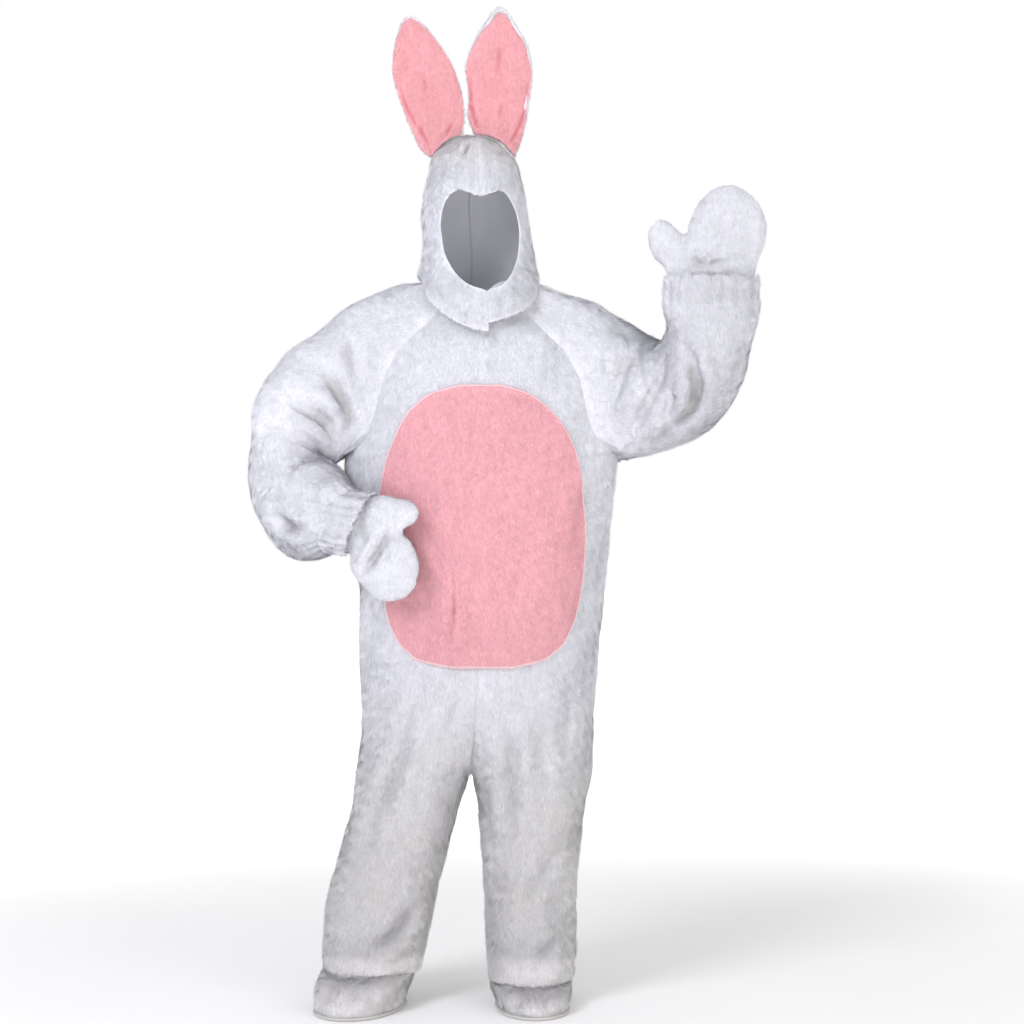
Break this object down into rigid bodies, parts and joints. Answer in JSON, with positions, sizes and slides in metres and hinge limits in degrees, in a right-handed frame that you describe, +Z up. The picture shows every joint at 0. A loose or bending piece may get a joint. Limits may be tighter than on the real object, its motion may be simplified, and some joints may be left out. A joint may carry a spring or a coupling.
{
  "type": "bunny costume",
  "caption": "Plush bunny costume worn by nobody: loose one-piece suit with an oval belly patch, hood with upright ears, mitts and foot covers, one arm raised.",
  "frame": {"origin": "the point between the collarbones inside the neck opening, 1.43 m above the soles, where the wearer carries the costume", "axes": "+Z up from the soles to the ears, -Y towards the front with the belly patch, +X towards the wearer's left, the raised arm"},
  "size_m": [1.0211, 0.3893, 1.985],
  "materials": {
    "white_plush": "long soft pile, matt",
    "pink_plush": "short soft pile, matt",
    "sole_cloth": "flat woven, matt"
  },
  "bodies": {
    "root": {"back_left": "white_plush", "back_placket": "white_plush", "back_right": "white_plush", "belly_patch": "pink_plush", "cuff_left": "white_plush", "cuff_right": "white_plush", "ear_back_left": "white_plush", "ear_back_right": "white_plush", "ear_front_left": "pink_plush", "ear_front_right": "pink_plush", "foot_inner_left": "white_plush", "foot_inner_right": "white_plush", "foot_outer_left": "white_plush", "foot_outer_right": "white_plush", "front_left": "white_plush", "front_right": "white_plush", "hood_left": "white_plush", "hood_right": "white_plush", "mitt_back_left": "white_plush", "mitt_back_right": "white_plush", "mitt_palm_left": "white_plush", "mitt_palm_right": "white_plush", "sleeve_left": "white_plush", "sleeve_right": "white_plush", "sole_left": "sole_cloth", "sole_right": "sole_cloth"}
  },
  "joints": []
}
